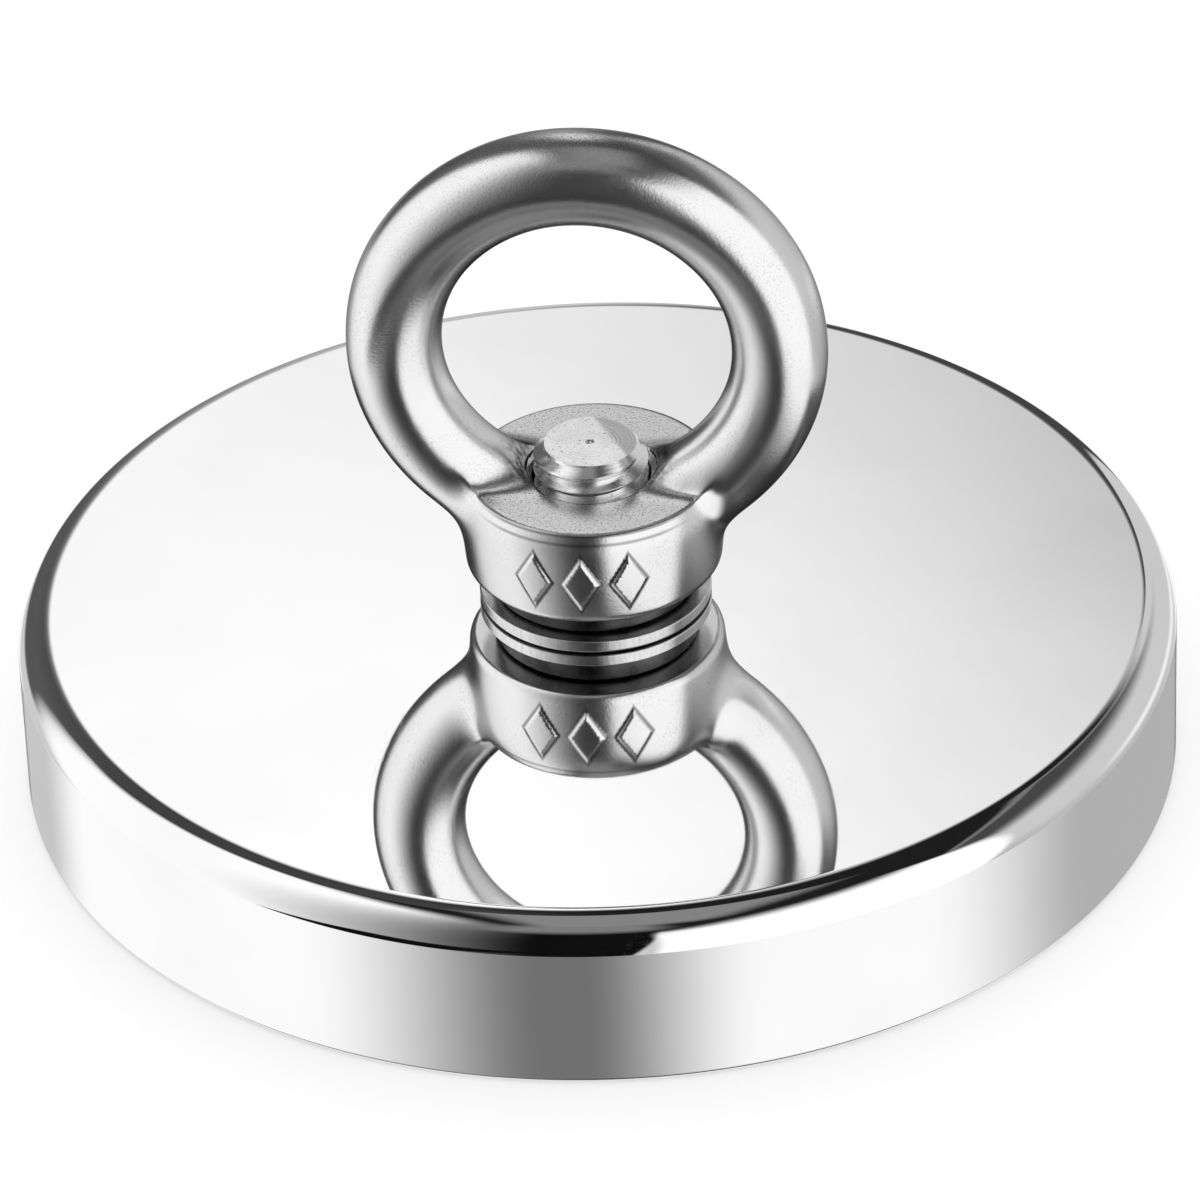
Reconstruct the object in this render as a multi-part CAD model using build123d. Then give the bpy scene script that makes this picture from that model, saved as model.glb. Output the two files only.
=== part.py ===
"""Magnet fishing magnet: a round pot magnet with an eye nut screwed on its bolt.

Millimetres. The origin is on the plate's axis at the magnetic face, which the part
rests on. +Z points out of the plain top of the plate, and the eye lies in the XZ plane.
"""

from build123d import *
from math import cos, radians, sin, sqrt
import os

# Plate: a steel cup that is open at the magnetic face
PLATE_D = 120.0
PLATE_H = 18.8
PLATE_EDGE_R = 3.6  # rounding between the plain top and the side
RIM_CHAMFER = 0.5  # at the magnetic face, inside and outside
CUP_FLOOR_T = 8.0  # steel behind the magnet
CUP_WALL_T = 8.0
POLE_D = 36.0  # centre pole, flush with the rim
POCKET_CORNER_R = 0.8
BOLT_HOLE_D = 12.6

# Ring magnet, bedded and sealed with epoxy, a little below the rim
MAGNET_OD = 100.0
MAGNET_ID = 42.0
MAGNET_CHAMFER = 0.5
GLUE_BED_T = 0.4
FACE_RECESS = 0.3

# M12 x 35 countersunk hexagon socket bolt, head in the magnetic face
THREAD_D = 11.8  # across the crests, as cut
THREAD_PITCH = 1.75
THREAD_DEPTH = 1.05
BOLT_L = 35.0
BOLT_HEAD_D = 24.0
BOLT_HEAD_LAND = 0.5  # straight edge of the head
BOLT_HEAD_RECESS = 2.0
PLAIN_SHANK_D = 12.0
SOCKET_AF = 8.0
SOCKET_DEPTH = 5.0
END_CHAMFER = 1.0
END_DIMPLE_D = 2.4
HEAD_SEAT_GAP = 0.1  # between head and countersink, square to the cone

# Washers between the plate and the eye nut
FLAT_WASHER_OD = 24.0
FLAT_WASHER_ID = 13.0
FLAT_WASHER_T = 1.5
FLAT_WASHER_CHAMFER = 0.25
SPRING_WASHER_OD = 21.2
SPRING_WASHER_ID = 12.4
SPRING_WASHER_T = 2.5
SPRING_WASHER_OPENING = 0.46  # how far one cut end stands above the other
SPRING_WASHER_SWEEP = 352.0  # degrees of a full turn that the strip covers
SPRING_WASHER_CUT_AT = 100.0  # degrees round from +X, out of sight at the back
WASHER_STACK_GAP = 0.02

# Eye nut: a collar with a ring that rises from it
COLLAR_H = 10.5
COLLAR_FOOT_D = 26.4
COLLAR_BELLY_D = 26.9
COLLAR_TOP_D = 25.4
COLLAR_SHOULDER_H = 1.1
COLLAR_CHAMFER = 0.4
NUT_BORE_D = 12.3
NUT_BORE_CHAMFER = 0.6
SPOTFACE_D = 13.8
EYE_ID = 29.6
EYE_SECTION_D = 9.8
EYE_CENTRE_ABOVE_COLLAR = 14.9
EYE_FILLET_R = 1.6  # cast corner where the ring runs into the collar's side

# Raised forge mark on the collar's front: a row of plain lozenges
MARK_COUNT = 3
MARK_SPACING = 5.0
MARK_W = 3.6
MARK_H = 5.8
MARK_RELIEF = 0.35
MARK_ROOT = 1.5  # how deep the marks are rooted in the collar

# Heights that follow from the sizes above
POCKET_TOP = PLATE_H - CUP_FLOOR_T
MAGNET_TOP = POCKET_TOP - GLUE_BED_T
SEAL_TOP = POCKET_TOP - POCKET_CORNER_R
SEAL_FACE = FACE_RECESS + MAGNET_CHAMFER
WASHER_TOP = PLATE_H + FLAT_WASHER_T
SPRING_FOOT = WASHER_TOP + WASHER_STACK_GAP
COLLAR_FOOT = SPRING_FOOT + SPRING_WASHER_T + SPRING_WASHER_OPENING + WASHER_STACK_GAP
COLLAR_TOP = COLLAR_FOOT + COLLAR_H
MARK_HEIGHT = COLLAR_FOOT + (COLLAR_H - COLLAR_SHOULDER_H + COLLAR_CHAMFER) / 2
EYE_CENTRE = COLLAR_TOP + EYE_CENTRE_ABOVE_COLLAR
EYE_MEAN_R = (EYE_ID + EYE_SECTION_D) / 2
BOLT_END = BOLT_HEAD_RECESS + BOLT_L
HEAD_CONE_H = (BOLT_HEAD_D - PLAIN_SHANK_D) / 2  # a 90 degree countersink
HEAD_TOP = BOLT_HEAD_RECESS + BOLT_HEAD_LAND + HEAD_CONE_H


def turned(profile):
    """Revolve a closed profile, drawn in the XZ plane, about the plate's axis."""
    return revolve(profile, axis=Axis.Z)


def ring(outer_d, inner_d, foot, top, chamfer_size=0.0):
    """A ring about the plate's axis, with its four edges chamfered alike."""
    body = turned(Plane.XZ * make_face(Polyline(
        (inner_d / 2, foot), (outer_d / 2, foot),
        (outer_d / 2, top), (inner_d / 2, top), close=True,
    )))
    if chamfer_size:
        body = chamfer(body.edges(), chamfer_size)
    return body


def steel_cup():
    """The plated cup: top plate, outer wall and centre pole in one turned piece."""
    outer_r = PLATE_D / 2
    hole_r = BOLT_HOLE_D / 2
    # The countersink stays parallel to the bolt head, HEAD_SEAT_GAP off its cone
    seat_shift = HEAD_SEAT_GAP * sqrt(2)
    mouth_r = BOLT_HEAD_D / 2 + HEAD_SEAT_GAP
    mouth_top = BOLT_HEAD_RECESS + BOLT_HEAD_LAND + seat_shift - HEAD_SEAT_GAP
    seat_top = mouth_top + mouth_r - hole_r
    outline = Plane.XZ * make_face(Polyline(
        (mouth_r, 0), (POLE_D / 2, 0), (POLE_D / 2, POCKET_TOP),
        (outer_r - CUP_WALL_T, POCKET_TOP), (outer_r - CUP_WALL_T, 0),
        (outer_r, 0), (outer_r, PLATE_H), (hole_r, PLATE_H),
        (hole_r, seat_top), (mouth_r, mouth_top), close=True,
    ))
    cup = turned(outline)
    circles = cup.edges().filter_by(GeomType.CIRCLE)
    top_edge = circles.filter_by(lambda e: e.radius > outer_r - 0.01 and e.center().Z > PLATE_H - 0.01)
    cup = fillet(top_edge, PLATE_EDGE_R)
    circles = cup.edges().filter_by(GeomType.CIRCLE)
    rim_edges = circles.filter_by(lambda e: e.center().Z < 0.01 and e.radius > mouth_r + 0.01)
    cup = chamfer(rim_edges, RIM_CHAMFER)
    circles = cup.edges().filter_by(GeomType.CIRCLE)
    hole_edge = circles.filter_by(lambda e: e.radius < hole_r + 0.01 and e.center().Z > PLATE_H - 0.01)
    cup = chamfer(hole_edge, RIM_CHAMFER)
    pocket_edges = cup.edges().filter_by(GeomType.CIRCLE).filter_by(
        lambda e: abs(e.center().Z - POCKET_TOP) < 0.01
    )
    return fillet(pocket_edges, POCKET_CORNER_R)


def ring_magnet():
    """One sintered ring, magnetised through its thickness."""
    return ring(MAGNET_OD, MAGNET_ID, FACE_RECESS, MAGNET_TOP, MAGNET_CHAMFER)


def glue_bed():
    """The thin adhesive layer that bonds the magnet's back to the cup."""
    return ring(MAGNET_OD - 2 * MAGNET_CHAMFER, MAGNET_ID + 2 * MAGNET_CHAMFER,
                MAGNET_TOP, MAGNET_TOP + GLUE_BED_T)


def outer_epoxy_ring():
    """The poured seal between the magnet and the outer wall."""
    return ring(PLATE_D - 2 * CUP_WALL_T, MAGNET_OD, SEAL_FACE, SEAL_TOP)


def inner_epoxy_ring():
    """The poured seal between the magnet and the centre pole."""
    return ring(MAGNET_ID, POLE_D, SEAL_FACE, SEAL_TOP)


def countersunk_bolt():
    """Head down in the plate. Rings at the thread's pitch stand for the thread."""
    shank_r = PLAIN_SHANK_D / 2
    crest_r = THREAD_D / 2
    head_r = BOLT_HEAD_D / 2
    thread_start = HEAD_TOP + THREAD_PITCH
    root_r = crest_r - THREAD_DEPTH
    profile = [
        (0, BOLT_HEAD_RECESS), (head_r, BOLT_HEAD_RECESS),
        (head_r, BOLT_HEAD_RECESS + BOLT_HEAD_LAND), (shank_r, HEAD_TOP), (shank_r, thread_start),
        (crest_r, thread_start),
    ]
    turns = int((BOLT_END - END_CHAMFER - thread_start) / THREAD_PITCH)
    first = BOLT_END - END_CHAMFER - turns * THREAD_PITCH
    flat = THREAD_PITCH / 8  # crest and root flats of a metric thread
    slope = (THREAD_PITCH - 2 * flat) / 2
    for turn in range(turns):
        foot = first + turn * THREAD_PITCH
        profile += [
            (crest_r, foot), (root_r, foot + slope),
            (root_r, foot + slope + flat), (crest_r, foot + 2 * slope + flat),
        ]
    dimple_r = END_DIMPLE_D / 2
    profile += [
        (crest_r, BOLT_END - END_CHAMFER), (crest_r - END_CHAMFER, BOLT_END),
        (dimple_r, BOLT_END), (0, BOLT_END - dimple_r / 2),
    ]
    bolt = turned(Plane.XZ * make_face(Polyline(*profile, close=True)))
    corner_r = SOCKET_AF / 2 / cos(radians(30))
    socket = Pos(0, 0, BOLT_HEAD_RECESS) * extrude(RegularPolygon(corner_r, 6), SOCKET_DEPTH)
    drill_point = Pos(0, 0, BOLT_HEAD_RECESS + SOCKET_DEPTH + corner_r / 4) * Cone(
        SOCKET_AF / 2, 0, corner_r / 2
    )
    return bolt - socket - drill_point


def flat_washer():
    """Lies on the plate, under the spring washer."""
    return ring(FLAT_WASHER_OD, FLAT_WASHER_ID, PLATE_H, WASHER_TOP, FLAT_WASHER_CHAMFER)


def spring_washer():
    """A split strip that climbs a little over its one turn."""
    mean_r = (SPRING_WASHER_OD + SPRING_WASHER_ID) / 4
    width = (SPRING_WASHER_OD - SPRING_WASHER_ID) / 2
    lead = SPRING_WASHER_OPENING * 360 / SPRING_WASHER_SWEEP
    path = Helix(pitch=lead, height=SPRING_WASHER_OPENING, radius=mean_r)
    section = Plane(origin=path @ 0, x_dir=(1, 0, 0), z_dir=path % 0) * Rectangle(
        width, SPRING_WASHER_T
    )
    strip = sweep(section, path=path, is_frenet=True)
    return Pos(0, 0, SPRING_FOOT + SPRING_WASHER_T / 2) * Rot(0, 0, SPRING_WASHER_CUT_AT) * strip


def collar_outline(growth=0.0):
    """Half section of the collar, with its barrelled side, grown outwards by growth."""
    foot_r = COLLAR_FOOT_D / 2 + growth
    belly_r = COLLAR_BELLY_D / 2 + growth
    top_r = COLLAR_TOP_D / 2 + growth
    shoulder = COLLAR_TOP - COLLAR_SHOULDER_H
    side = ThreePointArc(
        (foot_r, COLLAR_FOOT + COLLAR_CHAMFER), (belly_r, COLLAR_FOOT + COLLAR_H / 2),
        (foot_r, shoulder),
    )
    outline = side + Polyline(
        (foot_r, shoulder), (top_r, COLLAR_TOP), (0, COLLAR_TOP), (0, COLLAR_FOOT),
        (foot_r - COLLAR_CHAMFER, COLLAR_FOOT), (foot_r, COLLAR_FOOT + COLLAR_CHAMFER),
    )
    return Plane.XZ * make_face(outline)


def raised_marks():
    """A row of lozenges that follow the collar's front, MARK_RELIEF proud of it."""
    belly_r = COLLAR_BELLY_D / 2
    half_w, half_h = MARK_W / 2, MARK_H / 2
    lozenge = make_face(Polyline((-half_w, 0), (0, -half_h), (half_w, 0), (0, half_h), close=True))
    prisms = Part()
    for i in range(MARK_COUNT):
        turn = (i - (MARK_COUNT - 1) / 2) * MARK_SPACING / belly_r
        outwards = Vector(sin(turn), -cos(turn), 0)
        foot = outwards * (belly_r - MARK_ROOT) + Vector(0, 0, MARK_HEIGHT)
        plane = Plane(origin=foot, x_dir=(cos(turn), sin(turn), 0), z_dir=outwards)
        prisms += extrude(plane * lozenge, 2 * MARK_ROOT)
    return prisms & turned(collar_outline(MARK_RELIEF))


def eye_nut():
    """Collar and ring in one casting, faced round the bolt, with a plain bore for its thread."""
    eye = Pos(0, 0, EYE_CENTRE) * Rot(90, 0, 0) * Torus(EYE_MEAN_R, EYE_SECTION_D / 2)
    below = Pos(0, 0, COLLAR_FOOT) * Box(
        PLATE_D, PLATE_D, PLATE_D, align=(Align.CENTER, Align.CENTER, Align.MAX)
    )
    spotface = Pos(0, 0, COLLAR_TOP) * Cylinder(
        SPOTFACE_D / 2, EYE_SECTION_D, align=(Align.CENTER, Align.CENTER, Align.MIN)
    )
    bore_r = NUT_BORE_D / 2
    mouth_r = bore_r + NUT_BORE_CHAMFER
    bore = turned(Plane.XZ * make_face(Polyline(
        (0, COLLAR_FOOT), (mouth_r, COLLAR_FOOT), (bore_r, COLLAR_FOOT + NUT_BORE_CHAMFER),
        (bore_r, COLLAR_TOP - NUT_BORE_CHAMFER), (mouth_r, COLLAR_TOP), (0, COLLAR_TOP), close=True,
    )))
    nut = turned(collar_outline()) + (eye - below) - spotface - bore
    flanks = nut.edges().filter_by(GeomType.BSPLINE).filter_by(
        lambda e: abs(e.center().X) > COLLAR_TOP_D / 2 and e.center().Z > COLLAR_FOOT + COLLAR_CHAMFER
    )
    return fillet(flanks, EYE_FILLET_R) + raised_marks()


PIECES = [
    steel_cup, ring_magnet, glue_bed, outer_epoxy_ring, inner_epoxy_ring,
    countersunk_bolt, flat_washer, spring_washer, eye_nut,
]

os.makedirs("parts", exist_ok=True)
for piece in PIECES:
    shape = piece()
    shape.label = piece.__name__
    export_step(shape, f"parts/{piece.__name__}.step")
    box = shape.bounding_box()
    print(f"{piece.__name__}: {shape.volume:.0f} mm3, z {box.min.Z:.2f} to {box.max.Z:.2f}")
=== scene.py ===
"""Looks of the magnet fishing magnet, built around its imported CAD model.

Outlines and meshes are in millimetres and become metres when a mesh is made, in the
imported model's frame: Z is the plate's axis and the magnetic face is at zero.
"""

from math import asin, ceil, cos, pi, radians, sin, sqrt, tan

import bmesh
import bpy
import numpy as np
from mathutils import Matrix, Vector


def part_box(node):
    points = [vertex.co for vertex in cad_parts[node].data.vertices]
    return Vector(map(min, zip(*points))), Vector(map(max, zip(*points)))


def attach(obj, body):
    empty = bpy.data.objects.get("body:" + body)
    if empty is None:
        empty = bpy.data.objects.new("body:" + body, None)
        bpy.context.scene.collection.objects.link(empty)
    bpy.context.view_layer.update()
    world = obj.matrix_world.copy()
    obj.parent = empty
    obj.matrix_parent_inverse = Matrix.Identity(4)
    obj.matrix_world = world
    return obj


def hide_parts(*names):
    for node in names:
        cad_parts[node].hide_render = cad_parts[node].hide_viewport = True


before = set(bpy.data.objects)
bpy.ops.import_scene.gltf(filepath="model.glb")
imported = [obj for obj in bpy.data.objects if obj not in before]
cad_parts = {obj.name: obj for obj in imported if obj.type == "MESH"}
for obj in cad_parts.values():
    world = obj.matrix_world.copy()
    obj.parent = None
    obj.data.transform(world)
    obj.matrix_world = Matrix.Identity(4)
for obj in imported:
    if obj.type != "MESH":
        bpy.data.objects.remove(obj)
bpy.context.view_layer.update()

MM = 0.001  # one millimetre in metres
SIDES = 360  # flats round a large turned piece
SMALL_SIDES = 192  # flats round a washer or the bolt
FAN_STEP = 4.0  # most degrees between two corners of a rounding
WELD_GAP = 0.004 * MM


def span(node):
    """Lowest and highest corner of a CAD node, in millimetres."""
    low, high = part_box(node)
    return Vector(low) / MM, Vector(high) / MM


# Sizes that the frame gives, in millimetres
PLATE_R = span("steel_cup")[1].x
PLATE_H = span("steel_cup")[1].z
MAGNET_FACE, MAGNET_BACK = (corner.z for corner in span("ring_magnet"))
MAGNET_R = span("ring_magnet")[1].x
SEAL_FACE, SEAL_BACK = (corner.z for corner in span("outer_epoxy_ring"))
POCKET_R = span("outer_epoxy_ring")[1].x
MAGNET_HOLE_R = span("inner_epoxy_ring")[1].x
POCKET_TOP = span("glue_bed")[1].z
WASHER_FOOT, WASHER_TOP = (corner.z for corner in span("flat_washer"))
WASHER_R = span("flat_washer")[1].x
SPRING_FOOT, SPRING_TOP = (corner.z for corner in span("spring_washer"))
SPRING_R = span("spring_washer")[1].x
BOLT_FACE, BOLT_END = (corner.z for corner in span("countersunk_bolt"))
BOLT_HEAD_R = span("countersunk_bolt")[1].x
NUT_FOOT, NUT_TOP = (corner.z for corner in span("eye_nut"))
EYE_OUTER_R = span("eye_nut")[1].x

# Sizes of the cup and the magnet
PLATE_EDGE_R = 3.6
RIM_CHAMFER = 0.5
POLE_R = 18.0
POCKET_CORNER_R = 0.8
BOLT_HOLE_R = 6.3
COUNTERSINK_R = 12.1
EDGE_BREAK = 0.12  # rounding that polishing leaves on a sharp edge
MAGNET_EDGE_R = 0.5
SEAL_MENISCUS = 0.35  # how far the poured seal dips between its edges
SEAL_DIP_R = 4.0

# Sizes of the bolt
THREAD_R = 5.9
THREAD_PITCH = 1.75
THREAD_DEPTH = 1.05
THREAD_START = 10.25
HEAD_LAND = 0.5
END_R = 4.75
SHANK_R = 6.0
SOCKET_AF = 8.0
SOCKET_DEPTH = 5.0
PIP_R = 0.42
PIP_EDGE_W = 0.1
PIP_SIDE_H = 0.08
PIP_DEPTH = 0.1
FILED_FROM = 2.24  # the file has tipped the end face beyond this distance
FILED_TOWARDS = 29.0
FILED_SLOPE = 0.07
END_ROWS = 15
CENTRE_R = 0.001  # a row this narrow closes a surface on the axis
DRILL_INSET = 0.3  # the drilled cone's foot, inside the socket's flats
DRILL_STEP = 0.1
DRILL_POINT_H = 1.6
SOCKET_FILLET_W = 0.05
SOCKET_FILLET_H = 0.2
MOUTH_CLEAR_R = SOCKET_AF / 2 + 0.2  # the socket's bevel reaches at least this far
MOUTH_BEVEL_W = 0.1
MOUTH_BEVEL_H = 0.35
MOUTH_LAND_W = 0.25
HEAD_EDGE_R = 0.25
HEAD_EDGE_STEP = 0.07  # how far the middle of the head's rounded edge is cut back
HEAD_LAND_W = 0.1
THREAD_RUN_UP = 0.1

# Sizes of the washers
WASHER_HOLE_R = 6.5
WASHER_HOLE_EDGE_R = 0.1
WASHER_DIE_EDGE_R = 0.42
WASHER_TOP_EDGE_R = 0.14
WASHER_HOLE_TOP_EDGE_R = 0.3
SPRING_HOLE_R = 6.2
SPRING_T = 2.5
SPRING_SWEEP = 352.0
SPRING_CUT_AT = 100.0
SPRING_INNER_EDGE_R = 0.25
SPRING_OUTER_EDGE_R = 0.35

# Sizes of the eye nut
COLLAR_H = 10.5
COLLAR_FOOT_R = 13.2
COLLAR_BULGE = 0.25
COLLAR_TOP_R = 12.7
COLLAR_SHOULDER_H = 1.1
COLLAR_CHAMFER = 0.4
COLLAR_TOP = NUT_FOOT + COLLAR_H
SECTION_R = 4.9
EYE_MEAN_R = EYE_OUTER_R - SECTION_R
EYE_CENTRE = NUT_TOP - EYE_OUTER_R
SPOTFACE_R = 6.9
TOE_DRAFT = 0.4  # how far the ring's cut ends lean back, per height
NUT_BORE_R = 6.15
NUT_BORE_CHAMFER = 0.6
SHOULDER_BLEND = 0.6
COLLAR_FOOT_BLEND = 0.3
COLLAR_TOP_BLEND = 0.35
TOE_BLEND = 0.9
ROOT_BLEND = 2.4  # fillet where the ring meets the collar
ROOT_BLEND_LESS = 0.6  # how much smaller that fillet is on the collar's top
NUT_FOOT_BLEND = 0.15
NUT_BORE_BLEND = 0.12
MARK_COUNT = 3
MARK_SPACING = 5.0
MARK_HALF_W = 1.8
MARK_HALF_H = 2.9
MARK_RELIEF = 0.26
MARK_HEIGHT = NUT_FOOT + (COLLAR_H - COLLAR_SHOULDER_H + COLLAR_CHAMFER) / 2
MARK_SLANT = sqrt(MARK_HALF_W**-2 + MARK_HALF_H**-2)
NET_STEP = 0.27  # grid step of the eye nut's mesh


# ---------------------------------------------------------------- mesh making

def around_axis(radius, turn, height):
    """Points or directions from a radius, a turn about Z in radians, and a height."""
    parts = radius * np.cos(turn), radius * np.sin(turn), height
    return np.stack(np.broadcast_arrays(*parts), -1)


def full_turn(sides):
    """The turns about Z of the corners of a circle, in radians."""
    return 2 * pi * np.arange(sides) / sides


def put_mesh(name, points, faces):
    """A smooth-shaded object from points in millimetres and lists of corners."""
    mesh = bpy.data.meshes.new(name)
    mesh.from_pydata((np.asarray(points) * MM).tolist(), [], faces)
    mesh.shade_smooth()
    piece = bpy.data.objects.new(name, mesh)
    bpy.context.scene.collection.objects.link(piece)
    return piece


def weld(piece, angle):
    """Join coincident corners, drop faces with no area, and keep edges over angle sharp."""
    edit = bmesh.new()
    edit.from_mesh(piece.data)
    bmesh.ops.remove_doubles(edit, verts=edit.verts, dist=WELD_GAP)
    bmesh.ops.dissolve_degenerate(edit, edges=edit.edges, dist=WELD_GAP)
    bmesh.ops.recalc_face_normals(edit, faces=edit.faces)
    edit.to_mesh(piece.data)
    edit.free()
    piece.data.shade_smooth()
    piece.data.set_sharp_from_angle(angle=radians(angle))
    return piece


def strips(rows, count, wrap):
    """Quads between rows of count corners each. wrap joins the last row to the first."""
    lower_rows = np.arange(rows if wrap else rows - 1)
    i, j = np.meshgrid(lower_rows, np.arange(count), indexing="ij")
    up, on = (i + 1) % rows, (j + 1) % count
    quads = np.stack([i * count + j, i * count + on, up * count + on, up * count + j], -1)
    return quads.reshape(-1, 4)


def rounded_outline(corners):
    """Round a closed section's corners, each (radius, height, rounding).

    The solid is on the left of the outline. Returns the points, and for each stretch
    between two of them the outward directions at its start and its end."""
    corners = np.array(corners, float)
    count = len(corners)
    points, start_normals, end_normals = [], [], []

    def outward(i):
        along = corners[(i + 1) % count, :2] - corners[i % count, :2]
        along = along / np.hypot(*along)
        return np.array([along[1], -along[0]])

    def stretch(point, start, end):
        points.append(point)
        start_normals.append(start)
        end_normals.append(end)

    for i, (radius, height, rounding) in enumerate(corners):
        here = np.array([radius, height])
        leaving = outward(i)
        if rounding == 0:
            stretch(here, leaving, leaving)
            continue
        coming = outward(i - 1)
        turn = asin(np.clip(coming[0] * leaving[1] - coming[1] * leaving[0], -1, 1))
        if np.dot(coming, leaving) < 0:
            turn = np.sign(turn) * pi - turn
        side = np.sign(turn)
        along = np.array([-coming[1], coming[0]])
        centre = here - along * rounding * tan(abs(turn) / 2) - side * coming * rounding
        steps = max(2, ceil(abs(turn) / radians(FAN_STEP)))
        first = np.arctan2(coming[1], coming[0])
        fan = [np.array([cos(a), sin(a)]) for a in first + turn * np.arange(steps + 1) / steps]
        for start, end in zip(fan[:-1], fan[1:]):
            stretch(centre + side * rounding * start, start, end)
        stretch(centre + side * rounding * fan[-1], leaving, leaving)
    return np.array(points), np.array(start_normals), np.array(end_normals)


def lathe(name, corners, sides=SIDES):
    """Turn a section about Z, with exact normals, so that a mirror finish has no facets."""
    points, starts, ends = rounded_outline(corners)
    turn = full_turn(sides)
    xyz = around_axis(points[:, :1], turn, points[:, 1:]).reshape(-1, 3)
    quads = strips(len(points), sides, wrap=True)
    row = np.arange(len(points)).repeat(sides)
    outward = np.stack([starts[row], starts[row], ends[row], ends[row]], 1)
    normals = around_axis(outward[..., 0], turn[quads % sides], outward[..., 1])
    piece = put_mesh(name, xyz, quads.tolist())
    piece.data.normals_split_custom_set(normals.reshape(-1, 3).tolist())
    return piece


# ---------------------------------------------------------------- turned pieces

def steel_cup():
    """The plated cup, one turned piece with its pocket and centre pole."""
    mouth_top = BOLT_FACE + HEAD_LAND
    seat_top = mouth_top + COUNTERSINK_R - BOLT_HOLE_R
    return lathe("plated_cup", [
        (COUNTERSINK_R, 0, EDGE_BREAK), (POLE_R - RIM_CHAMFER, 0, EDGE_BREAK),
        (POLE_R, RIM_CHAMFER, EDGE_BREAK), (POLE_R, POCKET_TOP, POCKET_CORNER_R),
        (POCKET_R, POCKET_TOP, POCKET_CORNER_R), (POCKET_R, RIM_CHAMFER, EDGE_BREAK),
        (POCKET_R + RIM_CHAMFER, 0, EDGE_BREAK), (PLATE_R - RIM_CHAMFER, 0, EDGE_BREAK),
        (PLATE_R, RIM_CHAMFER, EDGE_BREAK), (PLATE_R, PLATE_H, PLATE_EDGE_R),
        (BOLT_HOLE_R + RIM_CHAMFER, PLATE_H, EDGE_BREAK),
        (BOLT_HOLE_R, PLATE_H - RIM_CHAMFER, EDGE_BREAK),
        (BOLT_HOLE_R, seat_top, EDGE_BREAK), (COUNTERSINK_R, mouth_top, EDGE_BREAK),
    ])


def ring_magnet():
    """The plated sintered ring."""
    return lathe("magnet_ring", [
        (MAGNET_HOLE_R, MAGNET_FACE, MAGNET_EDGE_R), (MAGNET_R, MAGNET_FACE, MAGNET_EDGE_R),
        (MAGNET_R, MAGNET_BACK, MAGNET_EDGE_R), (MAGNET_HOLE_R, MAGNET_BACK, MAGNET_EDGE_R),
    ])


def poured_seal(name, inner_r, outer_r):
    """A ring of cured epoxy that climbs a little up both walls of its groove."""
    middle = (inner_r + outer_r) / 2
    dip = SEAL_FACE + SEAL_MENISCUS
    return lathe(name, [
        (inner_r, SEAL_FACE, 0), (middle, dip, SEAL_DIP_R), (outer_r, SEAL_FACE, 0),
        (outer_r, SEAL_BACK, 0), (inner_r, SEAL_BACK, 0),
    ])


def flat_washer():
    """A pressed washer, rounded by the die below and sharper at the top."""
    return lathe("flat_washer_pressed", [
        (WASHER_HOLE_R, WASHER_FOOT, WASHER_HOLE_EDGE_R),
        (WASHER_R, WASHER_FOOT, WASHER_DIE_EDGE_R), (WASHER_R, WASHER_TOP, WASHER_TOP_EDGE_R),
        (WASHER_HOLE_R, WASHER_TOP, WASHER_HOLE_TOP_EDGE_R),
    ], sides=SMALL_SIDES)


def spring_washer():
    """A rounded strip that climbs over one turn and stops at two cut ends."""
    climb = SPRING_TOP - SPRING_FOOT - SPRING_T
    top = SPRING_FOOT + SPRING_T
    section, _, _ = rounded_outline([
        (SPRING_HOLE_R, SPRING_FOOT, SPRING_INNER_EDGE_R),
        (SPRING_R, SPRING_FOOT, SPRING_OUTER_EDGE_R), (SPRING_R, top, SPRING_OUTER_EDGE_R),
        (SPRING_HOLE_R, top, SPRING_INNER_EDGE_R),
    ])
    stations = np.linspace(0, 1, SMALL_SIDES)[:, None]
    turn = np.radians(SPRING_CUT_AT + SPRING_SWEEP * stations)
    xyz = around_axis(section[:, 0], turn, section[:, 1] + climb * stations).reshape(-1, 3)
    count = len(section)
    faces = strips(len(stations), count, wrap=False).tolist()
    faces += [list(range(count)), list(range(len(xyz) - 1, len(xyz) - count - 1, -1))]
    return weld(put_mesh("spring_washer_split", xyz, faces), angle=40)


# ---------------------------------------------------------------- bolt

def ring_rows(turn, *rows):
    """Rows of corners round Z. Each row is (radius, height), and both may vary."""
    return np.concatenate([around_axis(radius, turn, height) for radius, height in rows])


def end_height(radius, turn):
    """Height of the bolt's end face, which a file has tipped on one side."""
    along = radius * np.cos(turn - radians(FILED_TOWARDS))
    return BOLT_END - FILED_SLOPE * np.maximum(along - FILED_FROM, 0)


def thread_rows(sides):
    """Rows that follow the thread's helix from its run-in to the bolt's end chamfer."""
    shape = [  # share of the pitch, share of the depth
        (0.0, 0.07), (0.03, 0.0), (0.1, 0.0), (0.13, 0.07),
        (0.42, 0.93), (0.46, 1.0), (0.66, 1.0), (0.7, 0.93),
    ]
    turns = ceil((BOLT_END - THREAD_START) / THREAD_PITCH) + 1
    share = np.arange(sides + 1) / sides
    turn = 2 * pi * share
    end = end_height(END_R, turn)
    rows = []
    for k in range(-1, turns):
        for along, depth in shape:
            z = np.clip(THREAD_START + THREAD_PITCH * (k + along + share), THREAD_START, end)
            run_in = np.clip((z - THREAD_START) / THREAD_PITCH, 0, 1)
            r = np.minimum(THREAD_R - THREAD_DEPTH * depth * run_in, END_R + end - z)
            rows.append(around_axis(r, turn, z))
    return np.concatenate(rows), len(rows)


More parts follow.
